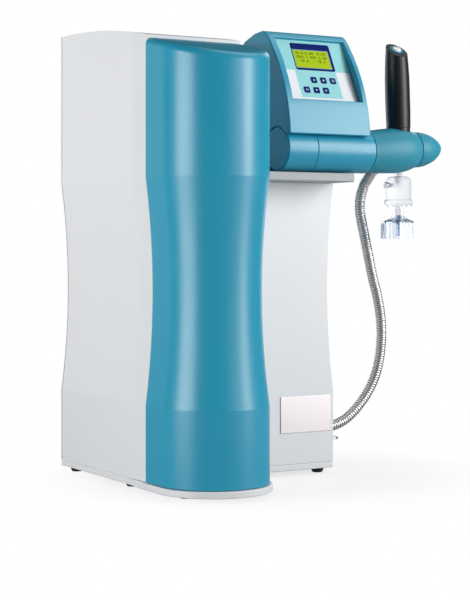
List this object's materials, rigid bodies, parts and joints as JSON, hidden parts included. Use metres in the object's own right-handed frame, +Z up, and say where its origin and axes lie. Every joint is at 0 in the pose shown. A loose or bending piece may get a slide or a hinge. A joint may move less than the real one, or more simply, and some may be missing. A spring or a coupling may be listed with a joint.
{
  "type": "ultrapure water system",
  "caption": "Bench water purifier: waisted tower with lift-off front cover, lower column with keypad head, arm with hand-grip dispenser, final filter and ribbed steel hose.",
  "frame": {"origin": "centre of the bounding box at the bench, without the hose", "axes": "+Z up, -Y to the front, +X to the dispenser side"},
  "size_m": [0.478, 0.393, 0.61],
  "materials": {
    "white_plastic": "satin moulded housing",
    "grey_plastic": "satin moulded plastic",
    "teal_plastic": "satin fine-grained moulded plastic",
    "black_rubber": "matt rubber",
    "black_plastic": "satin black plastic",
    "cartridge_plastic": "plain moulded plastic",
    "steel": "brushed stainless steel",
    "hose_steel": "ribbed steel conduit",
    "clear_plastic": "clear moulded plastic",
    "frosted_plastic": "milky translucent plastic",
    "panel_film": "printed membrane film",
    "display_lime": "lit character display",
    "key_blue": "printed keys",
    "board_green": "circuit board",
    "badge_metal": "brushed plate"
  },
  "bodies": {
    "root": {"base_plate": "white_plastic", "feet": "black_rubber", "tower_housing": "white_plastic", "column_housing": "white_plastic", "rear_panel": "grey_plastic", "bay_panel": "grey_plastic", "cartridge_body": "cartridge_plastic", "cartridge_caps": "black_plastic", "cartridge_cradles": "grey_plastic", "uv_chamber": "steel", "uv_clamps": "black_plastic", "booster_pump": "black_plastic", "power_supply": "steel", "head_shelf": "grey_plastic", "control_head": "teal_plastic", "keypad_panel": "panel_film", "display_window": "display_lime", "keypad_keys": "key_blue", "control_board": "board_green", "arm_collar": "teal_plastic", "arm_tube": "teal_plastic", "pod_body": "teal_plastic", "hand_grip": "black_plastic", "thumb_ring": "teal_plastic", "outlet_spigot": "frosted_plastic", "hose_gland": "steel", "hose_bulkhead": "steel", "steel_hose": "hose_steel", "drain_loop": "clear_plastic", "badge_plate": "badge_metal", "power_inlet": "black_plastic", "water_connectors": "frosted_plastic", "panel_screws": "steel"},
    "cover": {"front_cover": "teal_plastic"},
    "button": {"thumb_button": "clear_plastic"},
    "knob": {"flow_knob": "teal_plastic", "knob_spindle": "steel"},
    "filter": {"filter_capsule": "frosted_plastic", "filter_vent": "frosted_plastic", "splash_bell": "clear_plastic"},
    "rocker": {"mains_rocker": "black_plastic"}
  },
  "joints": [
    {"name": "cover_lift_off", "type": "slide", "parent": "root", "child": "cover", "axis": [0, -1, 0], "range_m": [0, 0.16]},
    {"name": "button_press", "type": "slide", "parent": "root", "child": "button", "axis": [0.0286, 0.5736, -0.8187], "range_m": [0, 0.003], "stiffness_N_per_m": 500, "springref_m": -0.001},
    {"name": "knob_turn", "type": "hinge", "parent": "root", "child": "knob", "pos_m": [0.10927, -0.0675, 0.446], "axis": [0.9981, 0, 0.061], "range_deg": [-135, 135]},
    {"name": "filter_pull", "type": "slide", "parent": "root", "child": "filter", "axis": [0, 0, -1], "range_m": [0, 0.03]},
    {"name": "rocker_tip", "type": "hinge", "parent": "root", "child": "rocker", "pos_m": [-0.16103, 0.1815, 0.1065], "axis": [1, 0, 0], "range_deg": [-8, 8]}
  ]
}
